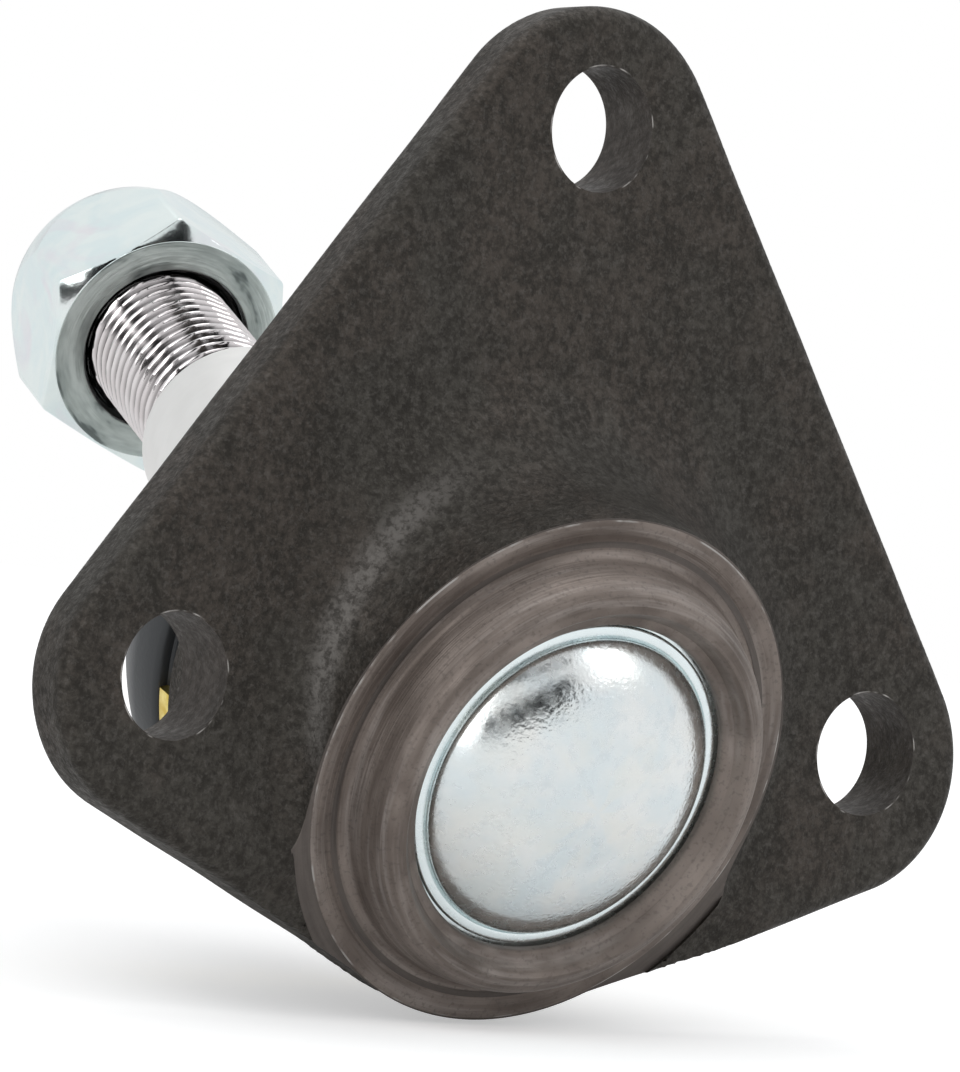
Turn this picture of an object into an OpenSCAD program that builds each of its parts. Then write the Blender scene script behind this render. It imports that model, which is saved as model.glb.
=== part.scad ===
// Suspension ball joint with a forged three-hole flange.
// Millimetres. The origin is the ball's centre, which every swing turns about.
// +Z runs up the flange's line of symmetry to the upper hole, and the stud leaves towards +Y.

/* [Flange] */
// Distance between the two lower bolt holes
hole_span = 75; // [70:0.5:90]
// Height of the upper bolt hole above the lower two
hole_rise = 50.5; // [48:0.5:60]
// Diameter of the bolt holes
hole_d = 10.8; // [8:0.1:12]
// Thickness of the flange
flange_t = 6.5; // [5:0.1:7]
// Radius of the two lower corners
corner_r = 12; // [10.5:0.1:14]
// Radius of the upper corner
crown_r = 13.3; // [12:0.1:16]
// How far the lower corners' centres lie inside their holes
corner_inset = 1; // [0:0.1:3]
// How far the upper corner's centre lies below its hole
crown_drop = 2.7; // [0:0.1:5]
// Rounding of the forged rim
rim_round = 1.6; // [0.5:0.1:2.2]
// How much the flange's outline shrinks towards its back
rim_draft = 0.5; // [0:0.1:0.8]

/* [Boss] */
// Lean of the boss's axis from square to the flange
boss_tilt = 20.7; // [16:0.1:22]
// Height of the ball's centre above the lower holes
ball_rise = 3.8; // [0:0.1:6]
// Depth of the ball's centre behind the flange's front face
ball_depth = 18; // [17:0.1:19]
// Thickness of the boss's wall round its bore
boss_wall = 6.7; // [5.5:0.1:8]
// How far the turned ledge lies behind the cap's seat
ledge_back = 0.4; // [0.1:0.1:1]
// How far the ledge is turned out past the boss
facing_margin = 1.6; // [0.5:0.1:3]
// Distance of the back shoulder behind the ball's centre
shoulder_back = 0.7; // [0:0.1:1.5]
// Radius of the forged fillet on the front
front_fillet_r = 7; // [3:0.5:8]
// Radius of the forged fillet on the back
back_fillet_r = 4; // [2:0.5:5]

/* [Rolled lip] */
// Height of the lip's crown above the ledge
lip_h = 5.1; // [4.6:0.1:5.6]
// Thickness of the lip round the bore
lip_wall = 2.6; // [2:0.1:3.5]
// How far the lip is rolled in over the bore
lip_cover = 1.7; // [1:0.1:2.4]
// Rounding of the lip's shoulder
lip_round = 1.2; // [0.5:0.1:1.6]

/* [Ball and seats] */
// Radius of the ball
ball_r = 15; // [14.5:0.1:15.2]
// Running gap between the ball and its seats
seat_gap = 0.1; // [0.05:0.01:0.15]
// Thickness of the seats between the ball and the bore
seat_wall = 2; // [1.8:0.1:2.5]
// Distance of the upper seat's end from the ball's centre
seat_end = 8; // [7:0.1:8]
// Thickness of the lower seat's floor behind the ball
cup_floor = 4.6; // [3:0.1:6]
// Radius of the grease hole in the lower seat
grease_r = 3; // [1:0.5:5]
// Room for the spring between the lower seat and the cap
spring_room = 4; // [3.8:0.1:5]
// Thickness of the disc spring
spring_t = 1.25; // [0.8:0.05:1.4]
// Wire diameter of the sealing ring under the cap
seal_d = 1.8; // [1.2:0.1:1.9]

/* [End cap] */
// Thickness of the cap's sheet
cap_t = 2; // [1.6:0.1:2.2]
// Crevice between the dome's foot and the lip's mouth
dome_gap = 1.5; // [0.5:0.1:2.5]
// Height of the dome above the flange of the cap
dome_h = 5.7; // [4.5:0.1:6.5]
// Radius of the dome's rounded shoulder
dome_round = 8.3; // [6:0.1:9]

/* [Stud] */
// Radius of the neck
neck_r = 7.25; // [6.5:0.05:7.3]
// Distance of the neck's end from the ball's centre
neck_end = 22.5; // [21:0.5:24]
// Length of the flare from the neck to the land
flare_h = 6.5; // [5:0.5:8]
// Radius of the land that the boot seals on
land_r = 9.8; // [9.6:0.1:10.2]
// Distance of the taper's large end from the ball's centre
taper_start = 38.8; // [38:0.1:40]
// Distance of the taper's small end from the ball's centre
taper_end = 49.5; // [46:0.1:54]
// Radius of the taper's small end
taper_end_r = 9; // [8.4:0.1:9.2]
// Taper, as the length over which the diameter grows by one
taper_rate = 10; // [8:1:20]
// Nominal diameter of the thread
thread_d = 14; // [12:1:16]
// Distance between the thread's crests
thread_pitch = 1.5; // [1.25:0.25:2]
// Distance of the stud's end from the ball's centre
stud_end = 87; // [86:1:100]

/* [Rest and swing] */
// Swing of the stud to one side of the boss's axis at rest
rest_swing = 13.5; // [0:0.5:20]
// Largest swing each way about either swing axis
full_swing = 20; // [15:0.5:20]

/* [Nut] */
// Width across the nut's flats
nut_af = 22; // [20:0.5:24]
// Height of the nut
nut_h = 15; // [13:0.5:16]
// Height at which the nut's locking crown starts to narrow
nut_crown = 8.4; // [7:0.1:12]
// Length of stud that stands out of the nut
stud_show = 0.8; // [0.5:0.1:8]
// Turn of the nut on its thread
nut_turn = 17.9; // [0:0.1:60]

/* [Boot] */
// Thickness of the boot's wall
boot_wall = 1.7; // [1.2:0.1:2]
// How far the boot bulges past the stub that its base grips
boot_bulge = 3.2; // [3.1:0.1:4]
// Thickness of the stub round the bore
stub_wall = 3.4; // [3:0.1:3.8]
// Gap kept round the rubber
rubber_gap = 0.3; // [0.2:0.05:0.4]
// Width of the flat ring at the boot's base
ring_w = 2; // [1.5:0.1:2.2]
// Thickness of the flat ring at the boot's base
ring_t = 0.9; // [0.6:0.1:1]
// Wire diameter of the ring at the boot's neck
wire_d = 1.1; // [0.8:0.1:1.3]

/* [Hidden] */
$fn = 96;
forged = [0.24, 0.22, 0.21];
zinc = [0.80, 0.84, 0.86];
yellow_zinc = [0.82, 0.72, 0.30];
steel = [0.72, 0.71, 0.70];
rubber = [0.10, 0.10, 0.11];
fit_gap = 0.05;
through = 60;

// Radii round the boss's axis, from the ball outwards
bore_r = ball_r + seat_wall;
lip_r = bore_r + lip_wall;
lip_mouth_r = bore_r - lip_cover;
dome_r = lip_mouth_r - dome_gap;
boss_r = bore_r + boss_wall;
facing_r = boss_r + facing_margin;
stub_r = bore_r + stub_wall;
boot_r = stub_r + boot_bulge;

// Distances in front of the ball's centre, along the boss's axis
cup_base = ball_r + cup_floor;
cap_out = cup_base + spring_room;
ledge_out = cap_out - ledge_back;

// Places of the flange
flange_front = -ball_depth;
flange_back = flange_front + flange_t;
hole_z = -ball_rise;
crown_z = hole_z + hole_rise;
boss_front_z = flange_front * tan(boss_tilt);
boss_back_z = flange_back * tan(boss_tilt);
corner_sink = 0.8;
bulge = [0, boss_front_z, boss_r];
right = [hole_span / 2 - corner_inset, hole_z - corner_sink, corner_r];
left = [-right[0], right[1], corner_r];
crown = [0, crown_z - crown_drop, crown_r];
outline = [bulge, right, crown, left];
rim_margin = 0.3;
bevel_step = 0.3;

// Forged fillets: their extra draft, what they stand proud of the boss, and how far they climb it
skirt_draft = 4;
skirt_proud = 0.5;
front_skirt_h = 11;
back_skirt_h = 6;

// The cap's flange and face, its dome's foot and the slopes where the shoulder starts and ends, the lip's mouth and root
cap_flange_r = bore_r + 0.5;
cap_face = cap_out + cap_t;
mouth_chamfer = [0.6, 0.4];
mouth_round = 0.5;
lip_root = 2;
root_round = 0.6;
root_sink = 0.45;
dome_foot = [0.4, 1.3];
dome_slopes = [58, 4];

// The pocket of the upper seat and the step where the pocket's cone starts
pocket_start = 2;
pocket_step = 2;
seat_reach = 5;
seal_room = 0.7;

// The stub: its length past the seat, and the rib that holds the boot's base
stub_end = seat_end + 3.1;
stub_chamfer = [2.2, 0.4];
rib_h = 0.6;
rib_start = shoulder_back + 4.3;
rib_stop = shoulder_back + 6;
rib_slope = 0.3;

// The room that the neck needs at the throat in its largest swing about both axes
cone_swing = acos(cos(full_swing) * cos(full_swing));
throat_gap = 0.2;
function throat_r(z) = z * tan(cone_swing) + neck_r / cos(cone_swing) + throat_gap;

// The stud: its edges and the centre drilling
taper_start_r = taper_end_r + (taper_end - taper_start) / (2 * taper_rate);
thread_r = thread_d / 2;
stud_chamfer = 1.3;
thread_depth = 0.6 * thread_pitch;
thread_relief = 0.4;
taper_chamfer = 0.4;
centre_drill = [2.2, 3];

// The nut: what its chamfer leaves of the inner face, its slope, the crown's end with its chamfer, the countersinks
nut_corner_r = nut_af / sqrt(3);
nut_face_r = nut_af / 2 - 0.3;
nut_chamfer = 30;
nut_top = [nut_af / 2 - 1, 0.75];
countersink = 0.7;
nut_out = stud_end - stud_show - nut_h;

// The boot: its base on the stub, its collar on the land, and the grooves of the two rings
base_in = stub_r + rubber_gap;
ring_in = base_in + 1.4;
ring_start = shoulder_back + rubber_gap;
ring_stop = ring_start + ring_w;
rib_room = base_in + 1;
collar_in = land_r + rubber_gap;
collar_r = collar_in + 1.5;
collar_end = neck_end + flare_h + 5;
groove = 0.5;
groove_start = collar_end - 2.1;
groove_stop = collar_end - 1.1;
groove_slope = 0.2;
ring_gap_start = 163;
ring_gap = 15;

// The boot's form: its widest ring, how far it runs on before it curves in, the point that its side
// curves towards, where its side meets the collar, and the stretch over which it bends with the stud
belly = 6.5;
belly_run = 3;
waist = belly + 10.5;
waist_in = 5.6;
shoulder = collar_end - 4;
skirt_in = 0.3;
bend_start = 5;
bend_length = 24;

// Outward direction of the line that touches circles a and b, given as [x, z, radius]
function run(a, b) = [b[0] - a[0], b[1] - a[1]] / norm([b[0] - a[0], b[1] - a[1]]);
function outward(a, b) =
    let (d = run(a, b), s = (a[2] - b[2]) / norm([b[0] - a[0], b[1] - a[1]]))
    [d[1], -d[0]] * sqrt(1 - s * s) + d * s;
function touch(c, n, inset) = [c[0], c[1]] + (c[2] - inset) * n;
function after(i) = outline[(i + 1) % len(outline)];
// Points of an arc about c with radius r from angle a to angle b
function arc(c, r, a, b, n = 8) = [for (i = [0:n]) c + r * [cos(a + (b - a) * i / n), sin(a + (b - a) * i / n)]];
// Points of the curve that leaves p0 towards p1 and reaches p3 from p2, without its first point
function curve(p0, p1, p2, p3, n) = [for (i = [1:n]) let (t = i / n, s = 1 - t)
    s * s * s * p0 + 3 * s * s * t * p1 + 3 * s * t * t * p2 + t * t * t * p3];

// Local +Z points from the flange's back face to its front, in the flange's own plane
module on_flange(depth = 0) translate([0, flange_back + depth, 0]) rotate([90, 0, 0]) children();
// Local +Z is the boss's axis, towards the stud
module on_boss() rotate([boss_tilt - 90, 0, 0]) children();
// Local +Z is the stud's axis at rest, towards the nut
module on_stud() on_boss() rotate([0, rest_swing, 0]) children();
module lathe(points) rotate_extrude() polygon(points);

// A disc of the flange's thickness with a rounded rim
module rounded_disc(r) {
    turn = rim_round;
    lathe(concat([[0, 0]], arc([r - rim_draft - turn, turn], turn, -90, 0, 4),
                 arc([r - turn, flange_t - turn], turn, 0, 90, 4), [[0, flange_t]]));
}

module flange() hull() for (c = outline) translate([c[0], c[1], 0]) rounded_disc(c[2], $fn = 64);

// The flat part of the flange's face as a tall prism, which trims the fillets
module face_prism(h) {
    inset = rim_round + rim_margin;
    for (c = outline) translate([c[0], c[1], 0]) cylinder(r = c[2] - inset, h = h);
    linear_extrude(h) polygon([for (i = [0:len(outline) - 1])
        let (n = outward(outline[i], after(i)))
        each [touch(outline[i], n, inset), touch(after(i), n, inset)]]);
}

// A forged fillet of radius r that runs from the flange up a leaning boss
module fillet_skirt(r, h) {
    lean = boss_tilt + skirt_draft;
    foot = boss_r / cos(boss_tilt) + skirt_proud;
    centre = [foot + r * (1 - sin(lean)) / cos(lean), r];
    lathe(concat([[0, -1], [centre[0], -1]], arc(centre, r, 270, 180 + lean),
                 [[foot - h * tan(lean), h], [0, h]]));
}

module fillets() {
    intersection() {
        on_flange(-flange_t) translate([0, boss_front_z, 0]) fillet_skirt(front_fillet_r, front_skirt_h);
        on_flange() face_prism(through);
    }
    intersection() {
        on_flange() mirror([0, 0, 1]) translate([0, boss_back_z, 0]) fillet_skirt(back_fillet_r, back_skirt_h);
        on_flange(through - flange_t) face_prism(through);
    }
}

// The lip, rolled inwards over the cap's flange, in front of the ledge
module rolled_lip() {
    bed = cap_flange_r + fit_gap;
    lip_top = ledge_out + lip_h;
    mouth = cap_face + mouth_chamfer[1];
    mirror([0, 0, 1]) lathe(concat(
        [[bed, ledge_out - lip_root], [bed, cap_face], [lip_mouth_r + mouth_chamfer[0], cap_face],
         [lip_mouth_r, mouth]],
        arc([lip_mouth_r + mouth_round, mouth + mouth_round], mouth_round, 180, 110, 4),
        arc([lip_r - lip_round, lip_top - lip_round], lip_round, 85, 0, 6),
        arc([lip_r + 2 * root_round, ledge_out + root_round - root_sink], root_round, 180, 270, 4),
        [[lip_r + lip_root, ledge_out - root_round], [lip_r + lip_root, ledge_out - lip_root]]));
}

// Material that the lathe takes away in front of the ledge, and the bevel that the forging has a little further out
module facing_cut() mirror([0, 0, 1]) lathe([
    [0, ledge_out], [facing_r, ledge_out], [facing_r, ledge_out + bevel_step], [through, ledge_out + bevel_step],
    [through, through], [0, through]]);

// The bore, the cap's seat, the pocket of the upper seat and the throat
module cavity() lathe([
    [0, -through], [lip_mouth_r, -through], [lip_mouth_r, -cap_face - mouth_chamfer[1]],
    [lip_mouth_r + mouth_chamfer[0], -cap_face], [cap_flange_r + fit_gap, -cap_face],
    [cap_flange_r + fit_gap, -cap_out], [bore_r, -cap_out], [bore_r, pocket_start],
    [bore_r - pocket_step, seat_end + fit_gap], [throat_r(seat_end), seat_end + fit_gap],
    [throat_r(stub_end + 1), stub_end + 1], [0, stub_end + 1]]);

// The stub behind the shoulder, with the rib that holds the boot's base
module boot_stub() lathe([
    [0, 0], [stub_r, 0], [stub_r, rib_start], [stub_r + rib_h, rib_start + rib_slope],
    [stub_r + rib_h, rib_stop - 2 * rib_slope], [stub_r, rib_stop],
    [stub_r - stub_chamfer[0] + rib_h, stub_end - stub_chamfer[1]], [stub_r - stub_chamfer[0], stub_end],
    [0, stub_end]]);

module bolt_holes() {
    for (hole = [[-hole_span / 2, hole_z], [hole_span / 2, hole_z], [0, crown_z]])
        on_flange(through / 2) translate([hole[0], hole[1], 0]) cylinder(d = hole_d, h = through);
}

module housing() color(forged) difference() {
    union() {
        difference() {
            union() {
                on_flange() flange();
                fillets();
                on_boss() translate([0, 0, -ledge_out]) cylinder(r = boss_r, h = ledge_out + shoulder_back);
            }
            on_boss() facing_cut();
        }
        on_boss() rolled_lip();
        on_boss() boot_stub();
    }
    on_boss() cavity();
    bolt_holes();
}

// A dome of one sheet with a flat flange, drawn from its face inwards
module end_cap() color(zinc) on_boss() mirror([0, 0, 1]) {
    top = cap_face + dome_h;
    centre = [dome_r - dome_foot[0] - dome_round * sin(dome_slopes[0]),
              cap_face + dome_foot[1] - dome_round * cos(dome_slopes[0])];
    lathe(concat(
        [[cap_flange_r, cap_out], [cap_flange_r, cap_face], [dome_r, cap_face]],
        arc(centre, dome_round, 90 - dome_slopes[0], 90 - dome_slopes[1]),
        [[0, top], [0, top - cap_t]],
        arc(centre, dome_round - cap_t, 90 - dome_slopes[1], 90 - dome_slopes[0]),
        [[dome_r - cap_t, cap_out]]));
}

module cap_seal() color(rubber) on_boss()
    rotate_extrude() translate([bore_r - fit_gap - seal_d / 2, fit_gap + seal_d / 2 - cap_out])
        circle(d = seal_d);

// A disc spring: its inner edge bears on the lower seat and its outer edge on the cap
module preload_spring() color(steel) on_boss() {
    inner = 2 * grease_r;
    outer = bore_r - seal_d - seal_room;
    lathe([[inner, -cup_base - fit_gap], [outer, -cap_out + fit_gap + spring_t], [outer, -cap_out + fit_gap],
           [inner, -cup_base - fit_gap - spring_t]]);
}

// The pressure cup under the ball
module lower_seat() color(steel) on_boss() difference() {
    chamfer = 1.5;
    wall = bore_r - fit_gap;
    lathe([[grease_r, -seat_reach], [wall, -seat_reach / 2], [wall, chamfer - cup_base],
           [wall - chamfer, -cup_base], [grease_r, -cup_base]]);
    sphere(ball_r + seat_gap);
}

// The bearing ring between the ball and the throat
module upper_seat() color(steel) on_boss() difference() {
    wall = bore_r - fit_gap;
    inner = ball_r - seat_reach;
    lathe([[inner, -pocket_start], [wall, -pocket_start], [wall, pocket_start - fit_gap],
           [wall - pocket_step, seat_end], [inner, seat_end]]);
    sphere(ball_r + seat_gap);
}

// The thread's grooves as rings, as many as fit from distance a to distance b
function grooves(a, b) = [for (i = [0:floor((b - a) / thread_pitch) - 1]) let (z = a + i * thread_pitch)
    each [[thread_r, z + 0.1 * thread_pitch], [thread_r - thread_depth, z + 0.45 * thread_pitch],
          [thread_r - thread_depth, z + 0.55 * thread_pitch], [thread_r, z + 0.9 * thread_pitch]]];

module ball_stud() color(steel) on_stud() {
    sphere(ball_r);
    difference() {
        lathe(concat(
            [[0, 0], [neck_r, 0], [neck_r, neck_end], [land_r, neck_end + flare_h], [land_r, taper_start],
             [taper_start_r, taper_start], [taper_end_r, taper_end],
             [taper_end_r - taper_chamfer, taper_end + taper_chamfer], [thread_r, taper_end + taper_chamfer]],
            grooves(taper_end + taper_chamfer + thread_relief, nut_out - thread_relief),
            [[thread_r, stud_end - stud_chamfer], [thread_r - stud_chamfer, stud_end], [0, stud_end]]));
        translate([0, 0, stud_end - centre_drill[1]])
            cylinder(r1 = 0.2, r2 = centre_drill[0], h = centre_drill[1] + 0.1);
    }
}

module hex_nut() color(zinc) on_stud() translate([0, 0, nut_out]) rotate(nut_turn) difference() {
    drop = (nut_corner_r - nut_face_r) * tan(nut_chamfer);
    bore = thread_r + fit_gap;
    intersection() {
        cylinder(r = nut_corner_r, h = nut_h, $fn = 6);
        lathe([[0, 0], [nut_face_r, 0], [nut_corner_r, drop], [nut_corner_r, nut_crown],
               [nut_top[0] + nut_top[1], nut_h - nut_top[1]], [nut_top[0], nut_h], [0, nut_h]]);
    }
    translate([0, 0, -1]) cylinder(r = bore, h = nut_h + 2);
    lathe([[0, -1], [bore + countersink + 1, -1], [bore, countersink], [0, countersink]]);
    lathe([[0, nut_h - countersink], [bore, nut_h - countersink],
           [bore + countersink + 1, nut_h + 1], [0, nut_h + 1]]);
}

// The boot's section, as a closed loop of [radius, distance from the ball's centre]
skirt = [boot_r - skirt_in, ring_stop + 2 * rubber_gap];
boot_section = concat(
    [[base_in, ring_start], [ring_in, ring_start], [ring_in, ring_stop + rubber_gap], skirt],
    curve(skirt, [boot_r, skirt[1] + 1.2], [boot_r, belly - 1], [boot_r, belly], 4),
    curve([boot_r, belly], [boot_r, belly + belly_run], [boot_r - waist_in, waist], [collar_r, shoulder], 14),
    [[collar_r, groove_start - groove_slope], [collar_r - groove, groove_start], [collar_r - groove, groove_stop],
     [collar_r, groove_stop + groove_slope], [collar_r, collar_end], [collar_in, collar_end],
     [collar_in, shoulder - boot_wall / 2]],
    curve([collar_in, shoulder - boot_wall / 2], [boot_r - waist_in - 0.9 * boot_wall, waist - 0.5 * boot_wall],
          [rib_room, rib_stop + 2.9], [rib_room, rib_stop + 0.7], 12),
    [[rib_room, rib_start - rib_slope],
     [base_in, rib_start - 2 * rib_slope]]);

// How far a ring of the boot at distance z has swung with the stud
function share(z) = let (t = max(0, min(1, (z - bend_start) / bend_length))) t * t * (3 - 2 * t);
function swung(p, around) =
    let (s = rest_swing * share(p[1]), x = p[0] * cos(around), y = p[0] * sin(around))
    [x * cos(s) + p[1] * sin(s), y, p[1] * cos(s) - x * sin(s)];

module boot() color(rubber) on_boss() {
    sides = 48;
    n = len(boot_section);
    polyhedron(
        points = [for (k = [0:sides - 1]) for (p = boot_section) swung(p, 360 * k / sides)],
        faces = [for (k = [0:sides - 1]) for (i = [0:n - 1])
            let (a = k * n, b = (k + 1) % sides * n, j = (i + 1) % n)
            [a + i, a + j, b + j, b + i]]);
}

// An open ring of flat wire round the boot's base
module boot_base_ring() color(yellow_zinc) on_boss() translate([0, 0, ring_start])
    rotate(ring_gap_start + ring_gap) rotate_extrude(angle = 360 - ring_gap)
        translate([ring_in + rubber_gap, 0]) square([ring_t, ring_w]);

// A wire ring in the groove of the boot's neck
module boot_neck_ring() color(steel) on_stud() rotate_extrude()
    translate([collar_r - groove + 0.1 + wire_d / 2, (groove_start + groove_stop) / 2]) circle(d = wire_d);

housing();
end_cap();
cap_seal();
preload_spring();
lower_seat();
upper_seat();
ball_stud();
boot();
boot_base_ring();
boot_neck_ring();
hex_nut();
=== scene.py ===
"""Suspension ball joint with a forged flange: the looks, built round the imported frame.

Shapes are worked out in millimetres round the ball's centre and stored in metres.
"""
import math

import bmesh
import bpy
import numpy as np
from mathutils import Matrix, Vector


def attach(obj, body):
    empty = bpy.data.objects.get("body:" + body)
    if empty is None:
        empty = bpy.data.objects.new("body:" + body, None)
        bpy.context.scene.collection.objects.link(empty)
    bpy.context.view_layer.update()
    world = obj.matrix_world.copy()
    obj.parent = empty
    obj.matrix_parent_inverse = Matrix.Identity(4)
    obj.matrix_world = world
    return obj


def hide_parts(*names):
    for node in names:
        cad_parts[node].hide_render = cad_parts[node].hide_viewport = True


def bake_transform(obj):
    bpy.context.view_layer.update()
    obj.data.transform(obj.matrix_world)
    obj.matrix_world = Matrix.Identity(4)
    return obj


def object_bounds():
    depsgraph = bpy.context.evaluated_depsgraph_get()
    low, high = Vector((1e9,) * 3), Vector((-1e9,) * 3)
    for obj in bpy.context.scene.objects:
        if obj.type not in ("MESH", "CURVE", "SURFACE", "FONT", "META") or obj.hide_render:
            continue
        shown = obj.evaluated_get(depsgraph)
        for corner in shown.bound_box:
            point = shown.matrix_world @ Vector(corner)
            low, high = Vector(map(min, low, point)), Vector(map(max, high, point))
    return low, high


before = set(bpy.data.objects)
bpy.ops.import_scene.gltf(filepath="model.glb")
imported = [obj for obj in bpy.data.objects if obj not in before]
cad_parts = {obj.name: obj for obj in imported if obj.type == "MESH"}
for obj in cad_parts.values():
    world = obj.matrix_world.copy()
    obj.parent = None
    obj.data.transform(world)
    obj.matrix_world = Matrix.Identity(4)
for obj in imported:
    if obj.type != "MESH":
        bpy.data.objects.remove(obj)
cad_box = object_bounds()


# Camera and studio
# A long lens looks across the front of the flange at the height of the ball. The floor is a white sheet
# just under the boss, and soft boxes stand to the left, right and above. Black sheets that only reflections
# show stand where the studio round the real part was dark.
CAMERA_PLACE = Vector((-0.55469, -0.73540, 0.01035))
CAMERA_RIGHT = Vector((0.78895, -0.60175, 0.12429))
CAMERA_UP = Vector((-0.09923, 0.07485, 0.99225))
LENS_MM = 356.54
SENSOR_MM = 36.0
FLOOR_GAP = 0.0004
FLOOR_TILT = math.radians(4.0)
FLOOR_RADIUS = 0.45
FLOOR_AHEAD = 0.012
PAPER_WHITE = 0.9
PAPER_SHINE = 0.42
PAPER_MIRRORED = 0.2
ROOM_TINT = (0.97, 0.985, 1.0, 1)
ROOM_LIGHT = 0.55
ROOM_MIRRORED = 0.85
CARD_BLACK = (0.006, 0.006, 0.007, 1)

camera_data = bpy.data.cameras.new("camera")
camera_data.lens = LENS_MM
camera_data.sensor_width = SENSOR_MM
camera_data.clip_start = 0.05
camera_data.clip_end = 20.0
camera = bpy.data.objects.new("camera", camera_data)
back = CAMERA_RIGHT.cross(CAMERA_UP)
axes = Matrix((CAMERA_RIGHT, CAMERA_UP, back)).transposed().to_4x4()
camera.matrix_world = Matrix.Translation(CAMERA_PLACE) @ axes
bpy.context.scene.collection.objects.link(camera)
bpy.context.scene.camera = camera
bpy.context.scene.view_settings.view_transform = "Standard"


def node(tree, kind, inputs=None, **settings):
    """Adds a node; inputs maps a socket's name or number to a value, or to the socket that feeds it."""
    made = tree.nodes.new(kind)
    for key, value in settings.items():
        setattr(made, key, value)
    for key, value in (inputs or {}).items():
        socket = made.inputs[key]
        if isinstance(value, bpy.types.NodeSocket):
            tree.links.new(value, socket)
        else:
            socket.default_value = value
    return made


def math_node(tree, operation, a, b=0.0, c=0.0):
    """One number worked out from others."""
    return node(tree, "ShaderNodeMath", {0: a, 1: b, 2: c}, operation=operation).outputs[0]


def times(tree, a, b):
    """a times b."""
    return math_node(tree, "MULTIPLY", a, b)


def light(name, place, target, size, watts, colour=(1.0, 1.0, 1.0)):
    """A rectangular soft box that faces target."""
    data = bpy.data.lights.new(name, "AREA")
    data.shape = "RECTANGLE"
    data.size, data.size_y = size
    data.energy = watts
    data.color = colour
    lamp = bpy.data.objects.new(name, data)
    lamp.location = place
    lamp.rotation_euler = (Vector(target) - Vector(place)).to_track_quat("-Z", "Y").to_euler()
    bpy.context.scene.collection.objects.link(lamp)
    return lamp


light("left_box", (-0.95, -0.58, 0.40), (0, 0, 0), (0.56, 1.25), 3.6)
light("right_box", (0.60, -0.85, 0.80), (0, 0, 0), (0.5, 0.6), 1.5)
light("top_box", (0.1, 0.15, 1.1), (0, 0, 0), (0.9, 0.9), 3.2)


def dark_card(name, distance, low_edge, high_edge):
    """A black sheet seen only in reflections; its edges are given as directions from the part."""
    count = len(low_edge)
    places = [Vector(way).normalized() * distance for way in low_edge + high_edge]
    mesh = bpy.data.meshes.new(name)
    mesh.from_pydata(places, [], [(i, i + 1, count + i + 1, count + i) for i in range(count - 1)])
    card = bpy.data.objects.new(name, mesh)
    bpy.context.scene.collection.objects.link(card)
    card.visible_camera = False
    card.visible_diffuse = False
    card.visible_shadow = False
    black = bpy.data.materials.new(name)
    black.use_nodes = True
    shader = black.node_tree.nodes["Principled BSDF"]
    shader.inputs["Base Color"].default_value = CARD_BLACK
    shader.inputs["Specular IOR Level"].default_value = 0.0
    mesh.materials.append(black)


dark_card("card_by_camera", 1.3,
          [(-0.74, -0.70, -0.16), (-0.62, -0.79, -0.12), (-0.35, -0.95, -0.03), (0.12, -1.0, 0.10)],
          [(-0.72, -0.70, 0.12), (-0.60, -0.79, 0.16), (-0.35, -0.90, 0.27), (0.12, -0.86, 0.46)])
dark_card("card_above", 0.4, [(-0.60, -0.66, 0.38), (-0.30, -0.80, 0.46), (0.06, -0.82, 0.56)],
          [(-0.58, -0.61, 0.48), (-0.28, -0.74, 0.56), (0.08, -0.75, 0.64)])
dark_card("card_beside_thread", 0.1,
          [(-0.90, -0.60, 0.14), (-0.90, -0.45, 0.03), (-0.90, -0.25, -0.065), (-0.90, -0.05, -0.16)],
          [(-0.90, -0.60, 0.34), (-0.90, -0.45, 0.22), (-0.90, -0.25, 0.10), (-0.90, -0.05, -0.02)])

world = bpy.data.worlds.new("studio")
world.use_nodes = True
bpy.context.scene.world = world
tree = world.node_tree
tree.nodes.clear()
path = node(tree, "ShaderNodeLightPath")
seen = math_node(tree, "MAXIMUM", path.outputs["Is Camera Ray"], path.outputs["Is Transmission Ray"])
shown = node(tree, "ShaderNodeBackground", {"Color": (1, 1, 1, 1), "Strength": 1.0})
glow = node(tree, "ShaderNodeBackground", {"Color": ROOM_TINT, "Strength": ROOM_LIGHT})
mirrored = node(tree, "ShaderNodeBackground", {"Color": ROOM_TINT, "Strength": ROOM_MIRRORED})
glossy = path.outputs["Is Glossy Ray"]
lit = node(tree, "ShaderNodeMixShader", {0: glossy, 1: glow.outputs[0], 2: mirrored.outputs[0]})
mixed = node(tree, "ShaderNodeMixShader", {0: seen, 1: lit.outputs[0], 2: shown.outputs[0]})
node(tree, "ShaderNodeOutputWorld", {0: mixed.outputs[0]})

floor_low = cad_box[0][2] - FLOOR_GAP
bpy.ops.mesh.primitive_circle_add(vertices=96, radius=FLOOR_RADIUS, fill_type="NGON")
floor = bpy.context.object
floor.name = "floor"
floor.data.transform(Matrix.Rotation(FLOOR_TILT, 4, CAMERA_RIGHT))
floor.data.transform(Matrix.Translation((0, -FLOOR_AHEAD, floor_low)))
paper = bpy.data.materials.new("white_paper")
paper.use_nodes = True
tree = paper.node_tree
tree.nodes.clear()
path = node(tree, "ShaderNodeLightPath")
in_mirrors = times(tree, path.outputs["Is Glossy Ray"], PAPER_MIRRORED)
lifted = math_node(tree, "MAXIMUM", path.outputs["Is Camera Ray"], in_mirrors)
diffuse = node(tree, "ShaderNodeBsdfDiffuse", {"Color": (PAPER_WHITE, PAPER_WHITE, PAPER_WHITE, 1)})
shine = node(tree, "ShaderNodeEmission", {"Color": (1, 1, 1, 1), "Strength": PAPER_SHINE})
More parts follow.
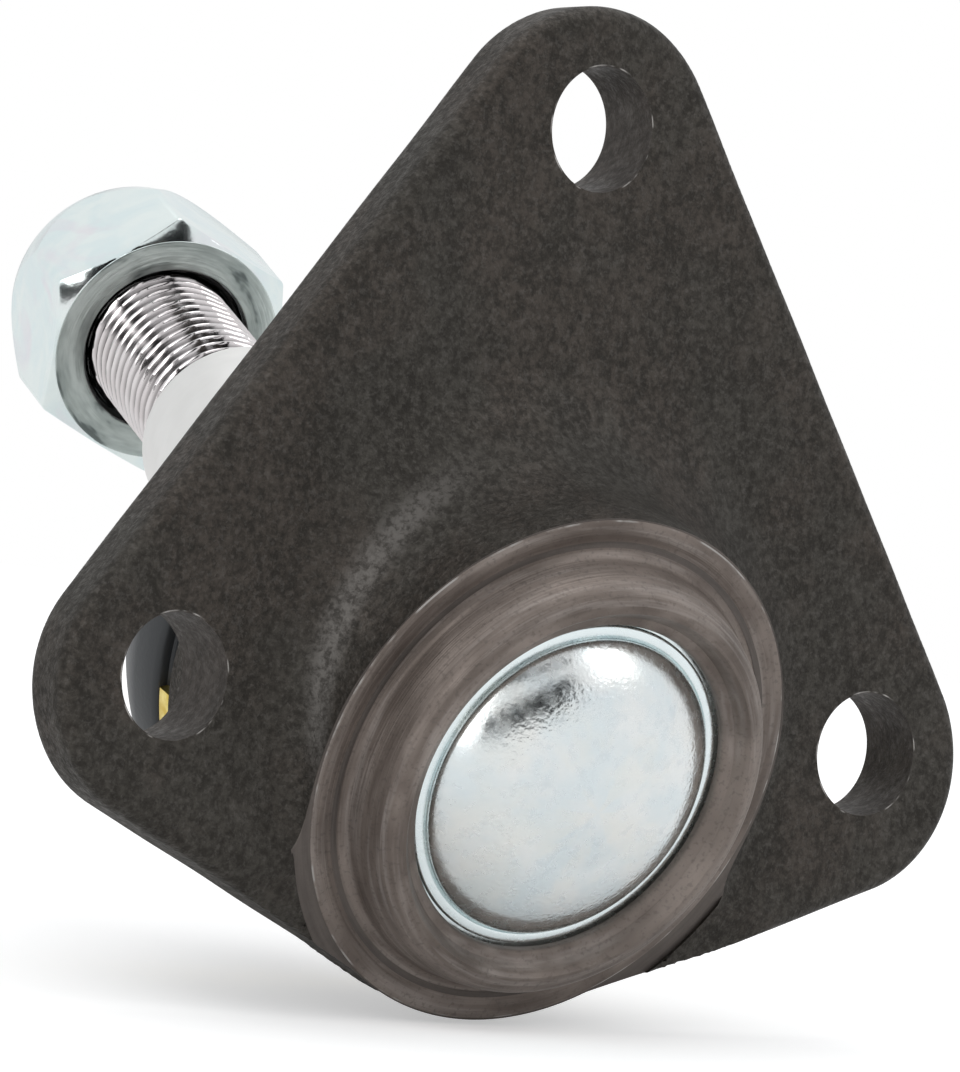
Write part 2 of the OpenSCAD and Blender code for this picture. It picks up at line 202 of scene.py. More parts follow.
both = node(tree, "ShaderNodeAddShader", {0: diffuse.outputs[0], 1: shine.outputs[0]})
mixed = node(tree, "ShaderNodeMixShader", {0: lifted, 1: diffuse.outputs[0], 2: both.outputs[0]})
node(tree, "ShaderNodeOutputMaterial", {0: mixed.outputs[0]})
floor.data.materials.append(paper)


# Forged housing
# One steel forging: a flat triangular flange with a leaning boss that grows out of it in soft fillets.
# Its skin keeps the dark scale of the forge; only the holes, the boss's ledge and its back are machined.
BOSS_TILT = math.radians(20.7)
BALL_DEPTH = 18.0
FLANGE_T = 6.5
RIM_ROUND = 1.6
RIM_DRAFT = 0.5
HOLE_Z = -3.8
HOLE_SPAN = 75.0
HOLE_RISE = 50.5
HOLE_R = 5.4
BOSS_R = 23.7
LEDGE = -23.2
SHOULDER = 0.7
FACING_R = 25.3
FRONT_FILLET = (7.5, 2.8)
FILLET_FADE = (-10.0, 8.0)
BACK_FILLET = 4.0
BEVEL_STEP = 0.3
FACING_INSET = 0.3
FILLET_INSET = 0.3
BOSS_RUN = 1.2
WAVE_HEIGHT = 0.012
FORGING_STEP = 0.45
FORGING_LOW = (-50.0, -33.0, -34.0)
FORGING_HIGH = (50.0, 13.0, 59.0)
FORGING_BORE = 21.0
CUT_FROM = -60
CUT_TO = 16
DRILL_FROM = -32

BOSS_AXIS = np.array([0.0, math.cos(BOSS_TILT), math.sin(BOSS_TILT)])
BOSS_SIDE = np.array([1.0, 0.0, 0.0])
BOSS_DOWN = np.cross(BOSS_AXIS, BOSS_SIDE)
BOSS_FRAME = np.array([BOSS_SIDE, BOSS_DOWN, BOSS_AXIS])
FRONT_Y = -BALL_DEPTH
BACK_Y = FRONT_Y + FLANGE_T
BULGE = (0.0, FRONT_Y * math.tan(BOSS_TILT), BOSS_R)
CORNER = (HOLE_SPAN / 2 - 1.0, HOLE_Z - 0.8, 12.0)
CROWN = (0.0, HOLE_Z + HOLE_RISE - 2.7, 13.3)
OUTLINE = [BULGE, CORNER, CROWN, (-CORNER[0], CORNER[1], CORNER[2])]
BOLT_HOLES = [(-HOLE_SPAN / 2, HOLE_Z), (HOLE_SPAN / 2, HOLE_Z), (0.0, HOLE_Z + HOLE_RISE)]


def tangent_points(a, b):
    """Where the outer line that touches circles a and b, given as (x, z, radius), meets them."""
    along = np.array(b[:2]) - np.array(a[:2])
    reach = np.hypot(*along)
    along /= reach
    lean = (a[2] - b[2]) / reach
    outward = np.array([along[1], -along[0]]) * math.sqrt(1 - lean * lean) + along * lean
    return np.array(a[:2]) + a[2] * outward, np.array(b[:2]) + b[2] * outward


def outline_distance(x, z):
    """Signed distance to the flange's outline: the nearer of its corner circles and their common polygon."""
    corners = []
    for i, circle in enumerate(OUTLINE):
        corners += tangent_points(circle, OUTLINE[(i + 1) % len(OUTLINE)])
    nearest = np.full(x.shape, 1e9)
    within = np.full(x.shape, -1e9)
    for i, start in enumerate(corners):
        end = corners[(i + 1) % len(corners)]
        edge = end - start
        px, pz = x - start[0], z - start[1]
        t = np.clip((px * edge[0] + pz * edge[1]) / (edge @ edge), 0, 1)
        nearest = np.minimum(nearest, np.hypot(px - t * edge[0], pz - t * edge[1]))
        within = np.maximum(within, (px * edge[1] - pz * edge[0]) / np.hypot(*edge))
    distance = np.where(within < 0, -nearest, nearest)
    for cx, cz, r in OUTLINE:
        distance = np.minimum(distance, np.hypot(x - cx, z - cz) - r)
    return distance


def forging_field(x, y, z):
    """Signed distance to the forging: a plate with a rounded rim and a leaning cylinder, with a round fillet.

    The fillet is wide above the boss and tight below it, and it stays inside the plate's outline. A plane a
    step outside the ledge bevels what stands round the machined face.
    """
    deep = np.clip((y - FRONT_Y) / FLANGE_T, 0, 1)
    outline = outline_distance(x, z) + RIM_DRAFT * deep
    side = outline + RIM_ROUND
    face = np.abs(y - (FRONT_Y + BACK_Y) / 2) - (FLANGE_T / 2 - RIM_ROUND)
    rounded = np.hypot(np.maximum(side, 0), np.maximum(face, 0))
    plate = np.minimum(np.maximum(side, face), 0) + rounded - RIM_ROUND
    along = y * BOSS_AXIS[1] + z * BOSS_AXIS[2]
    down = y * BOSS_DOWN[1] + z * BOSS_DOWN[2]
    past_ends = np.abs(along - (LEDGE + SHOULDER) / 2) - (SHOULDER - LEDGE) / 2 - BOSS_RUN
    boss = np.maximum(np.hypot(x, down) - BOSS_R, past_ends)
    low = np.clip((down - FILLET_FADE[0]) / (FILLET_FADE[1] - FILLET_FADE[0]), 0, 1)
    front_fillet = FRONT_FILLET[0] + (FRONT_FILLET[1] - FRONT_FILLET[0]) * low * low * (3 - 2 * low)
    fillet = front_fillet + (BACK_FILLET - front_fillet) * deep
    near_plate = np.maximum(fillet - plate, 0)
    near_boss = np.maximum(fillet - boss, 0)
    joined = np.maximum(fillet, np.minimum(plate, boss)) - np.hypot(near_plate, near_boss)
    whole = np.minimum(np.minimum(plate, boss), np.maximum(joined, outline + FILLET_INSET))
    whole = whole + forge_waves(x, y, z)
    machined = np.hypot(x, down) < FACING_R - FACING_INSET
    return np.where(machined, whole, np.maximum(whole, LEDGE - BEVEL_STEP - along))


def forge_waves(x, y, z):
    """The forge's faint unevenness: a few crossing waves, 10 to 25 mm long and hundredths of a mm high."""
    total = 0.0
    for i in range(6):
        turn = 2.4 * i
        wave = 0.26 + 0.07 * i
        total = total + np.sin(wave * (x * math.cos(turn) + z * math.sin(turn) + 0.6 * y) + 1.7 * i)
    return WAVE_HEIGHT * total


def surface_net(field, low, step):
    """Quads round a field's zero surface on a grid, with a point in each cell at its edges' mean crossing."""
    cells = tuple(n - 1 for n in field.shape)
    count = int(np.prod(cells))
    sums = np.zeros((count, 3))
    hits = np.zeros(count)
    rings = []
    for axis in range(3):
        lower = np.take(field, range(field.shape[axis] - 1), axis)
        upper = np.take(field, range(1, field.shape[axis]), axis)
        places = np.argwhere((lower < 0) != (upper < 0))
        a = lower[tuple(places.T)]
        b = upper[tuple(places.T)]
        crossing = places.astype(float)
        crossing[:, axis] += a / (a - b)
        one, two = (axis + 1) % 3, (axis + 2) % 3
        ring = []
        for back_one, back_two in ((0, 0), (1, 0), (1, 1), (0, 1)):
            cell = places.copy()
            cell[:, one] -= back_one
            cell[:, two] -= back_two
            flat = np.ravel_multi_index(tuple(cell.T), cells)
            hits += np.bincount(flat, minlength=count)
            for k in range(3):
                sums[:, k] += np.bincount(flat, crossing[:, k], minlength=count)
            ring.append(flat)
        ring = np.stack(ring, 1)
        rings.append(np.where((a < 0)[:, None], ring, ring[:, ::-1]))
    used = np.flatnonzero(hits)
    number = np.zeros(count, int)
    number[used] = np.arange(len(used))
    points = np.array(low) + step * sums[used] / hits[used, None]
    return points, number[np.concatenate(rings)]


def settle(points, field, rounds=4):
    """Moves points straight onto the field's zero surface, by Newton's step along its slope."""
    reach = 0.02
    for _ in range(rounds):
        here = field(*points.T)
        slope = np.stack([field(*(points + reach * unit).T) - field(*(points - reach * unit).T)
                          for unit in np.eye(3)], 1) / (2 * reach)
        points = points - slope * (here / np.maximum((slope ** 2).sum(1), 0.2))[:, None]
    return points


def new_mesh(name, points, faces, sharp=None):
    """A mesh object from points in millimetres, with faces outwards and smooth up to the sharp angle."""
    mesh = bpy.data.meshes.new(name)
    mesh.from_pydata(np.asarray(points) * 0.001, [], np.asarray(faces).tolist())
    shape = bmesh.new()
    shape.from_mesh(mesh)
    bmesh.ops.remove_doubles(shape, verts=shape.verts, dist=1e-7)
    if shape.calc_volume(signed=True) < 0:
        bmesh.ops.reverse_faces(shape, faces=shape.faces)
    shape.to_mesh(mesh)
    shape.free()
    mesh.shade_smooth()
    if sharp is not None:
        mesh.set_sharp_from_angle(angle=math.radians(sharp))
    made = bpy.data.objects.new(name, mesh)
    bpy.context.scene.collection.objects.link(made)
    return made


def grid_faces(rows, columns):
    """Quads of a grid of rows by columns that closes on itself from its last column to its first."""
    row, column = np.meshgrid(np.arange(rows - 1), np.arange(columns), indexing="ij")
    a = row * columns + column
    b = row * columns + (column + 1) % columns
    return np.stack([a, b, b + columns, a + columns], -1).reshape(-1, 4)


def turned(profile, sides, frame_rows=BOSS_FRAME):
    """Points and faces of a profile of (radius, distance) carried round an axis, the frame's last row."""
    radius, distance = np.array(profile, float).T
    angle = np.arange(sides) * 2 * math.pi / sides
    local = np.stack([radius[:, None] * np.cos(angle), radius[:, None] * np.sin(angle),
                      distance[:, None] + 0 * angle], -1)
    return local.reshape(-1, 3) @ frame_rows, grid_faces(len(profile), sides)


def finish_piece(piece, body, slot, *nodes):
    """Attaches a piece to the empty of the body that it moves with and hides the CAD nodes that it stands for;
    slot, its finish, is not used.
    """
    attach(piece, body)
    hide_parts(*nodes)


def apply_modifiers(piece):
    """Makes the result of the piece's modifiers its mesh."""
    graph = bpy.context.evaluated_depsgraph_get()
    mesh = bpy.data.meshes.new_from_object(piece.evaluated_get(graph))
    piece.modifiers.clear()
    piece.data = mesh


ticks = [np.arange(FORGING_LOW[k], FORGING_HIGH[k], FORGING_STEP) for k in range(3)]
x, y, z = np.meshgrid(*ticks, indexing="ij", sparse=True)
field = forging_field(x + 0 * z, y, z + 0 * x)
points, quads = surface_net(field, FORGING_LOW, FORGING_STEP)
forging = new_mesh("housing_forging", settle(points, forging_field), quads)

spool = [(0, CUT_FROM), (FACING_R, CUT_FROM), (FACING_R, LEDGE), (FORGING_BORE, LEDGE),
         (FORGING_BORE, SHOULDER), (FACING_R, SHOULDER), (FACING_R, CUT_TO), (0, CUT_TO)]
cutter_points, cutter_faces = turned(spool, 256)
drill = np.array([[1.0, 0, 0], [0, 0, -1.0], [0, 1.0, 0]])
for hole_x, hole_z in BOLT_HOLES:
    drill_points, drill_faces = turned([(0, DRILL_FROM), (HOLE_R, DRILL_FROM), (HOLE_R, 0), (0, 0)], 128, drill)
    cutter_faces = np.concatenate([cutter_faces, drill_faces + len(cutter_points)])
    cutter_points = np.concatenate([cutter_points, drill_points + [hole_x, 0, hole_z]])
cutter = new_mesh("cutter", cutter_points, cutter_faces)
cut = forging.modifiers.new("machined", "BOOLEAN")
cut.operation = "DIFFERENCE"
cut.solver = "MANIFOLD"
cut.object = cutter
apply_modifiers(forging)
bpy.data.objects.remove(cutter)
forging.data.shade_smooth()
forging.data.set_sharp_from_angle(angle=math.radians(28))
finish_piece(forging, "housing", "forged_steel", "housing")


def new_material(name, roughness=0.5, metallic=0.0, colour=(0.5, 0.5, 0.5)):
    """A material with one Principled BSDF; returns the material, its tree and the shader node."""
    made = bpy.data.materials.new(name)
    made.use_nodes = True
    shader = made.node_tree.nodes["Principled BSDF"]
    shader.inputs["Roughness"].default_value = roughness
    shader.inputs["Metallic"].default_value = metallic
    shader.inputs["Base Color"].default_value = (*colour, 1)
    return made, made.node_tree, shader


def new_group(name, inputs, outputs):
    """An empty node group; inputs map names to a kind and a default value, outputs to a kind alone."""
    group = bpy.data.node_groups.new(name, "ShaderNodeTree")
    for key, (kind, value) in inputs.items():
        socket = group.interface.new_socket(name=key, in_out="INPUT", socket_type="NodeSocket" + kind)
        if value is not None:
            socket.default_value = value
    for key, kind in outputs.items():
        group.interface.new_socket(name=key, in_out="OUTPUT", socket_type="NodeSocket" + kind)
    return group, group.nodes.new("NodeGroupInput").outputs


def use_group(tree, group, inputs):
    """Places a group in a material with its own values and returns its outputs."""
    made = tree.nodes.new("ShaderNodeGroup")
    made.node_tree = group
    for key, value in inputs.items():
        if isinstance(value, bpy.types.NodeSocket):
            tree.links.new(value, made.inputs[key])
        else:
            made.inputs[key].default_value = value
    return made.outputs


def ramp(tree, value, low, high, start=0.0, end=1.0):
    """A number carried smoothly from start to end while value goes from low to high."""
    return node(tree, "ShaderNodeMapRange", {0: value, 1: low, 2: high, 3: start, 4: end},
                interpolation_type="SMOOTHSTEP").outputs[0]


def mix_colour(tree, share, a, b):
    """Colour a where share is 0 and b where it is 1."""
    made = node(tree, "ShaderNodeMix", {0: share}, data_type="RGBA")
    for socket, value in ((made.inputs[6], a), (made.inputs[7], b)):
        if isinstance(value, bpy.types.NodeSocket):
            tree.links.new(value, socket)
        else:
            socket.default_value = (*value, 1)
    return made.outputs[2]


def noise(tree, vector, scale, detail=3.0, roughness=0.5, distortion=0.0):
    """A noise pattern's value, with scale in cells a metre."""
    values = {"Vector": vector, "Scale": scale, "Detail": detail, "Roughness": roughness}
    return node(tree, "ShaderNodeTexNoise", {**values, "Distortion": distortion}).outputs[0]


def bump(tree, height, depth, normal=None):
    """A normal raised by height times depth, in metres."""
    inputs = {"Height": height, "Distance": depth, "Strength": 1.0}
    if normal is not None:
        inputs["Normal"] = normal
    return node(tree, "ShaderNodeBump", inputs).outputs[0]


def in_frame(tree, tilt=0.0, swing=0.0):
    """Object coordinates turned so that local z runs along the boss's axis or the stud's."""
    place = node(tree, "ShaderNodeTexCoord").outputs["Object"]
    turned_by = (math.pi / 2 - tilt, -swing, 0)
    return node(tree, "ShaderNodeMapping", {"Vector": place, "Rotation": turned_by}).outputs[0]


def plus(tree, a, b):
    """a and b together."""
    return math_node(tree, "ADD", a, b)


def minus(tree, a, b):
    """a less b."""
    return math_node(tree, "SUBTRACT", a, b)


def away_from(tree, value, centre):
    """How far a number lies from centre on either side."""
    return math_node(tree, "ABSOLUTE", minus(tree, value, centre))


def parts_of(tree, vector):
    """The x, y and z of a vector."""
    return node(tree, "ShaderNodeSeparateXYZ", {0: vector}).outputs


def length_of(tree, vector):
    """The length of a vector."""
    return node(tree, "ShaderNodeVectorMath", {0: vector}, operation="LENGTH").outputs["Value"]


# Rings left by a lathe tool: a noise that changes quickly with the radius and slowly round the axis
tool_rings, given = new_group(
    "tool_rings", {"Place": ("Vector", None), "Rings": ("Float", 3000.0), "Along": ("Float", 0.0)},
    {"Height": "Float", "Streak": "Float", "Radius": "Float"})
split = parts_of(tool_rings, given["Place"])
flat = node(tool_rings, "ShaderNodeCombineXYZ", {0: split[0], 1: split[1]}).outputs[0]
radius = length_of(tool_rings, flat)
heading = node(tool_rings, "ShaderNodeVectorMath", {0: flat}, operation="NORMALIZE").outputs[0]
turn = parts_of(tool_rings, heading)
depth = times(tool_rings, split[2], given["Along"])
ringed = plus(tool_rings, times(tool_rings, radius, given["Rings"]), depth)
slow = node(tool_rings, "ShaderNodeCombineXYZ", {0: ringed, 1: turn[0], 2: turn[1]}).outputs[0]
height = noise(tool_rings, slow, 1.0, 2.0, 0.6)
wide = node(tool_rings, "ShaderNodeVectorMath", {0: slow, 1: (0.22, 1.4, 1.4)}, operation="MULTIPLY")
streak = noise(tool_rings, wide.outputs[0], 1.0, 3.0, 0.65)
node(tool_rings, "NodeGroupOutput", {"Height": height, "Streak": streak, "Radius": radius})

# Forge scale: broad blotches, a mottling of flecks and a fine grain
forge_scale, given = new_group(
    "forge_scale", {"Place": ("Vector", None)}, {"Blotch": "Float", "Fleck": "Float", "Grain": "Float"})
blotch = noise(forge_scale, given["Place"], 210.0, 4.0, 0.6, 0.3)
fleck = noise(forge_scale, given["Place"], 1300.0, 3.0, 0.7)
grain = noise(forge_scale, given["Place"], 2300.0, 2.0, 0.6)
node(forge_scale, "NodeGroupOutput", {"Blotch": blotch, "Fleck": fleck, "Grain": grain})

# A thin bright line where a machined edge is worn, painted as a highlight, at a radius from a point, broken up
# by noise
worn_highlight_ring, given = new_group(
    "worn_highlight_ring", {"Place": ("Vector", None), "Radius": ("Float", 0.005), "Width": ("Float", 0.0002)},
    {"Line": "Float"})
off = away_from(worn_highlight_ring, length_of(worn_highlight_ring, given["Place"]), given["Radius"])
line = ramp(worn_highlight_ring, math_node(worn_highlight_ring, "DIVIDE", off, given["Width"]), 0.4, 1.0, 1.0, 0.0)
broken = ramp(worn_highlight_ring, noise(worn_highlight_ring, given["Place"], 420.0, 2.0), 0.5, 0.68)
node(worn_highlight_ring, "NodeGroupOutput", {"Line": times(worn_highlight_ring, line, broken)})

SCALE_DARK = (0.022, 0.0185, 0.0145)
SCALE_BROWN = (0.062, 0.051, 0.042)
SCALE_GREEN = (0.056, 0.0505, 0.0425)
# Light specks of the grain, and the colour of the painted highlight along the left fillet.
SCALE_FLECK_AND_HIGHLIGHT = (0.14, 0.13, 0.12)
BARE_DARK = (0.085, 0.072, 0.065)
BARE_STEEL = (0.135, 0.115, 0.103)
# Bright colour of the worn edge lines, a painted highlight.
BURR_HIGHLIGHT = (0.42, 0.40, 0.38)
# Height over the plate's face of the painted highlight strip.
HIGHLIGHT_HEIGHT = 0.0029
PIT_DEPTH = 0.00012
GRAIN_DEPTH = 0.00009
RING_DEPTH = 0.00003
# Drilled walls show bare steel at only this share; the rest keeps the dark scale colour as painted shade in the
# holes.
HOLE_WALL_STEEL_SHARE = 0.35
HOLE_LINE_OUT = 0.00006
HOLE_LINE_WIDTH = 0.00012


def painted_highlight_strip(tree, place):
    """A mask along the left fillet, at a height over the plate's face, where a highlight is painted lighter
    into the scale's colour.
    """
    x, y, z = parts_of(tree, place)
    off = away_from(tree, minus(tree, FRONT_Y / 1000, y), HIGHLIGHT_HEIGHT)
    strip = times(tree, ramp(tree, off, 0.0002, 0.0015, 1.0, 0.0), ramp(tree, x, -0.019, -0.009, 1.0, 0.0))
    return times(tree, strip, ramp(tree, z, -0.017, -0.006))


def ledge_mask(tree, boss, radius):
    """1 on the turned face round the lip, which lies in the ledge's plane, and 0 elsewhere."""
    in_plane = math_node(tree, "LESS_THAN", away_from(tree, parts_of(tree, boss)[2], LEDGE / 1000), 0.00006)
    near = math_node(tree, "LESS_THAN", radius, FACING_R / 1000 + 0.0001)
    return times(tree, in_plane, near)


def hole_masks(tree, place):
    """Two masks at the bolt holes: their drilled walls, and the worn lines round their rims that carry a
    painted highlight.
    """
    walls = lines = 0.0
    for hole_x, hole_z in BOLT_HOLES:
        centre = (hole_x / 1000, 0, hole_z / 1000)
        away = node(tree, "ShaderNodeVectorMath", {0: place, 1: centre}, operation="SUBTRACT").outputs[0]
        across = node(tree, "ShaderNodeVectorMath", {0: away, 1: (1, 0, 1)}, operation="MULTIPLY").outputs[0]
        wall = math_node(tree, "LESS_THAN", length_of(tree, across), HOLE_R / 1000 + 0.00003)
        rim = {"Place": across, "Radius": HOLE_R / 1000 + HOLE_LINE_OUT, "Width": HOLE_LINE_WIDTH}
        walls = math_node(tree, "MAXIMUM", walls, wall)
        lines = math_node(tree, "MAXIMUM", lines, use_group(tree, worn_highlight_ring, rim)["Line"])
    return walls, lines


def forged_steel():
    """Dark blotched scale with light specks of fine grain and a painted highlight along the left fillet; bare
    brownish steel where a tool has cut, with painted highlight lines on the worn hole rims, and drilled walls
    kept mostly in the scale's dark colour as painted shade.
    """
    made, tree, shader = new_material("forged_steel", metallic=0.55)
    place = node(tree, "ShaderNodeTexCoord").outputs["Object"]
    scale = use_group(tree, forge_scale, {"Place": place})
    tint = mix_colour(tree, ramp(tree, noise(tree, place, 90.0, 3.0), 0.4, 0.6), SCALE_BROWN, SCALE_GREEN)
    mottle = plus(tree, times(tree, scale["Blotch"], 0.3), times(tree, scale["Fleck"], 0.7))
    skin = mix_colour(tree, ramp(tree, mottle, 0.34, 0.66), SCALE_DARK, tint)
    # Painted highlight: a strip along the left fillet is lightened, with brighter flecks and grain specks in
    # it.
    highlight_strip = painted_highlight_strip(tree, place)
    highlight_flecks = times(tree, highlight_strip, ramp(tree, scale["Fleck"], 0.36, 0.58, 0.25, 0.8))
    grain_specks_and_highlight = times(tree, ramp(tree, scale["Grain"], 0.52, 0.68), plus(tree, times(tree, highlight_strip, 0.6), 0.22))
    skin = mix_colour(tree, math_node(tree, "MAXIMUM", highlight_flecks, grain_specks_and_highlight), skin, SCALE_FLECK_AND_HIGHLIGHT)
    boss = in_frame(tree, BOSS_TILT)
    rings = use_group(tree, tool_rings, {"Place": boss, "Rings": 3500.0, "Along": 3500.0})
    ledge = ledge_mask(tree, boss, rings["Radius"])
    bored, lines = hole_masks(tree, place)
    # Painted shade: the drilled walls take only a small share of the bare steel colour.
    bare = math_node(tree, "MAXIMUM", ledge, times(tree, bored, HOLE_WALL_STEEL_SHARE))
    metal = mix_colour(tree, ramp(tree, rings["Streak"], 0.3, 0.7), BARE_DARK, BARE_STEEL)
    colour = mix_colour(tree, bare, skin, metal)
    # Painted highlight on the worn rims of the bolt holes.
    colour = mix_colour(tree, times(tree, lines, minus(tree, 1.0, bored)), colour, BURR_HIGHLIGHT)
    tree.links.new(colour, shader.inputs["Base Color"])
    rough = ramp(tree, scale["Fleck"], 0.4, 0.7, 0.62, 0.46)
    tree.links.new(minus(tree, rough, times(tree, bare, 0.1)), shader.inputs["Roughness"])
    smoothed = minus(tree, 1.0, times(tree, bare, 0.85))
    grain = times(tree, plus(tree, scale["Grain"], scale["Fleck"]), smoothed)
    grained = bump(tree, grain, GRAIN_DEPTH, bump(tree, scale["Blotch"], PIT_DEPTH))
    turned_face = bump(tree, times(tree, rings["Height"], ledge), RING_DEPTH, grained)
    tree.links.new(turned_face, shader.inputs["Normal"])
    return made


forging.data.materials.clear()
forging.data.materials.append(forged_steel())


# Turned core of the housing
# The same forging where the lathe has been: the ledge, the lip rolled in over the cap, the bore with its
# pocket for the seats, and the stub that the boot grips behind the shoulder. It is one closed ring.
BALL_R = 15.0
BORE_R = 17.0
CAP_SEAT = -23.6
CAP_FACE = -25.6
LIP_R = 19.6
MOUTH_R = 15.3
LIP_TOP = -28.3
STUB_R = 20.4
SEAT_END = 8.0
STUB_END = 11.1
THROAT_R = (12.7, 14.4)


def bow(centre, radius, start, end, count=8):
    """Points of an arc about centre from angle start to angle end, in degrees."""
    angles = np.radians(np.linspace(start, end, count))
    return [(centre[0] + radius * math.cos(a), centre[1] + radius * math.sin(a)) for a in angles]


core_profile = (
    [(BORE_R + 0.5, CAP_FACE), (MOUTH_R + 0.5, CAP_FACE), (MOUTH_R, CAP_FACE - 0.35)]
    + bow((MOUTH_R + 0.55, CAP_FACE - 0.75), 0.55, 180, 250, 6)
    + [(MOUTH_R + 1.0, -27.06), (MOUTH_R + 1.3, -27.5), (MOUTH_R + 1.4, -27.66), (MOUTH_R + 1.7, -28.1)]
    + bow((LIP_R - 2.35, LIP_TOP + 2.1), 2.1, 268, 342, 18)
    + [(LIP_R + 0.02, -25.6), (LIP_R + 0.3, -24.5)]
    + bow((LIP_R + 1.3, LEDGE - 0.85), 0.9, 165, 92, 8)
    + [(22.0, LEDGE - 0.03), (22.1, LEDGE - 0.1), (23.35, LEDGE - 0.1), (23.55, LEDGE - 0.03)]
    + [(23.62, LEDGE + 0.1), (22.6, LEDGE + 0.7), (22.3, LEDGE + 2), (22.3, SHOULDER - 2)]
    + [(22.6, SHOULDER - 0.7), (23.5, SHOULDER - 0.12), (23.6, SHOULDER - 0.02), (23.5, SHOULDER + 0.04)]
    + [(STUB_R + 0.35, SHOULDER + 0.04), (STUB_R + 0.05, SHOULDER + 0.3), (STUB_R, SHOULDER + 0.7)]
    + [(STUB_R, 5.0), (STUB_R + 0.6, 5.3), (STUB_R + 0.6, 6.1), (STUB_R, 6.7)]
    + [(STUB_R - 1.6, STUB_END - 0.4), (STUB_R - 2.2, STUB_END), (THROAT_R[1] + 0.25, STUB_END)]
    + [(THROAT_R[1], STUB_END - 0.3), (THROAT_R[0], SEAT_END + 0.06), (BORE_R - 2, SEAT_END + 0.05)]
    + [(BORE_R, 2), (BORE_R, CAP_SEAT), (BORE_R + 0.5, CAP_SEAT), (BORE_R + 0.5, CAP_FACE)])
points, faces = turned(core_profile, 256)
core = new_mesh("housing_core", points, faces, 35)
finish_piece(core, "housing", "forged_steel", "housing")


TURNED_DARK = (0.125, 0.100, 0.086)
TURNED_LIGHT = (0.265, 0.222, 0.196)
TURNED_BRIGHT = (0.42, 0.38, 0.355)
TURNED_SPOTS = (0.09, 0.075, 0.066)
WORN_HIGHLIGHT_R = 0.0235


def worn_highlight_edge(tree, boss, radius):
    """A ragged thin line on the ledge close to its outer edge, where the worn burr gets a painted highlight."""
    line = ramp(tree, away_from(tree, radius, WORN_HIGHLIGHT_R), 0.00004, 0.00011, 1.0, 0.0)
    ahead = ramp(tree, parts_of(tree, boss)[2], -0.0230, -0.0229, 1.0, 0.0)
    return times(tree, times(tree, line, ahead), ramp(tree, noise(tree, boss, 300.0, 3.0), 0.48, 0.62))


def turned_steel():
    """Brownish bare steel with fine and broad tool marks round the boss's axis, and a painted highlight line on
    the ledge's worn edge.
    """
    made, tree, shader = new_material("turned_steel", metallic=0.6)
    boss = in_frame(tree, BOSS_TILT)
    fine = use_group(tree, tool_rings, {"Place": boss, "Rings": 4200.0, "Along": 5200.0})
    broad = use_group(tree, tool_rings, {"Place": boss, "Rings": 900.0, "Along": 1100.0})
    spots = ramp(tree, noise(tree, boss, 2600.0, 2.0), 0.52, 0.72, 0.0, 0.4)
    colour = mix_colour(tree, ramp(tree, broad["Streak"], 0.3, 0.7), TURNED_DARK, TURNED_LIGHT)
    colour = mix_colour(tree, ramp(tree, fine["Streak"], 0.45, 0.75, 0.0, 0.45), colour, TURNED_BRIGHT)
    colour = mix_colour(tree, spots, colour, TURNED_SPOTS)
    # Painted highlight along the ledge's worn outer edge.
    colour = mix_colour(tree, worn_highlight_edge(tree, boss, fine["Radius"]), colour, BURR_HIGHLIGHT)
    tree.links.new(colour, shader.inputs["Base Color"])
    tree.links.new(ramp(tree, broad["Height"], 0.3, 0.7, 0.42, 0.56), shader.inputs["Roughness"])
    marks = bump(tree, fine["Height"], 0.00005)
    tree.links.new(bump(tree, broad["Height"], 0.00003, marks), shader.inputs["Normal"])
    return made


bare_metal = turned_steel()
core.data.materials.append(bare_metal)


# End cap
# Pressed from zinc-plated sheet: a flat flange that the lip holds, a narrow ring, and a dome with a rounded
# shoulder. The dome's middle rises a little further and shows faint rings; nothing is stamped on it.
DOME_R = 13.8
DOME_TOP = CAP_FACE - 5.7
DOME_ROUND = 11.1
DOME_FOOT = (0.0, 0.85)
DOME_SLOPE = math.radians(52)
CAP_T = 2.0

shoulder_centre = (DOME_R - DOME_FOOT[0] - DOME_ROUND * math.sin(DOME_SLOPE),
                   CAP_FACE - DOME_FOOT[1] + DOME_ROUND * math.cos(DOME_SLOPE))
cap_profile = (
    [(BORE_R + 0.45, CAP_SEAT), (BORE_R + 0.45, CAP_FACE + 0.02), (15.02, CAP_FACE), (15.0, CAP_FACE - 0.2)]
    + [(14.93, CAP_FACE - 0.32), (14.8, CAP_FACE - 0.38), (14.22, CAP_FACE - 0.44), (14.1, CAP_FACE - 0.38)]
    + [(14.04, CAP_FACE - 0.1), (13.97, CAP_FACE), (13.9, CAP_FACE - 0.1), (13.86, CAP_FACE - 0.6)]
    + bow(shoulder_centre, DOME_ROUND, 322, 274, 34)
    + [(5.4, DOME_TOP + 0.55), (4.6, DOME_TOP + 0.42), (3.4, DOME_TOP + 0.25), (2.2, DOME_TOP + 0.11)]
    + [(1.1, DOME_TOP + 0.03)]
    + [(0, DOME_TOP), (0, DOME_TOP + CAP_T)]
    + bow(shoulder_centre, DOME_ROUND - CAP_T, 274, 318, 10)
    + [(DOME_R - CAP_T, CAP_SEAT), (BORE_R + 0.45, CAP_SEAT)])
points, faces = turned(cap_profile, 256)
cap = new_mesh("end_cap_sheet", points, faces, 50)
finish_piece(cap, "housing", "zinc_plate", "end_cap")


ZINC_COOL = (0.78, 0.85, 0.87)
ZINC_PALE = (0.88, 0.90, 0.89)
ZINC_DULL = (0.62, 0.68, 0.72)
ZINC_WARM = (0.90, 0.88, 0.80)
ZINC_RIM = (0.90, 0.98, 0.99)
CAP_RING_DEPTH = 0.000012
PEEL_DEPTH = 0.00006


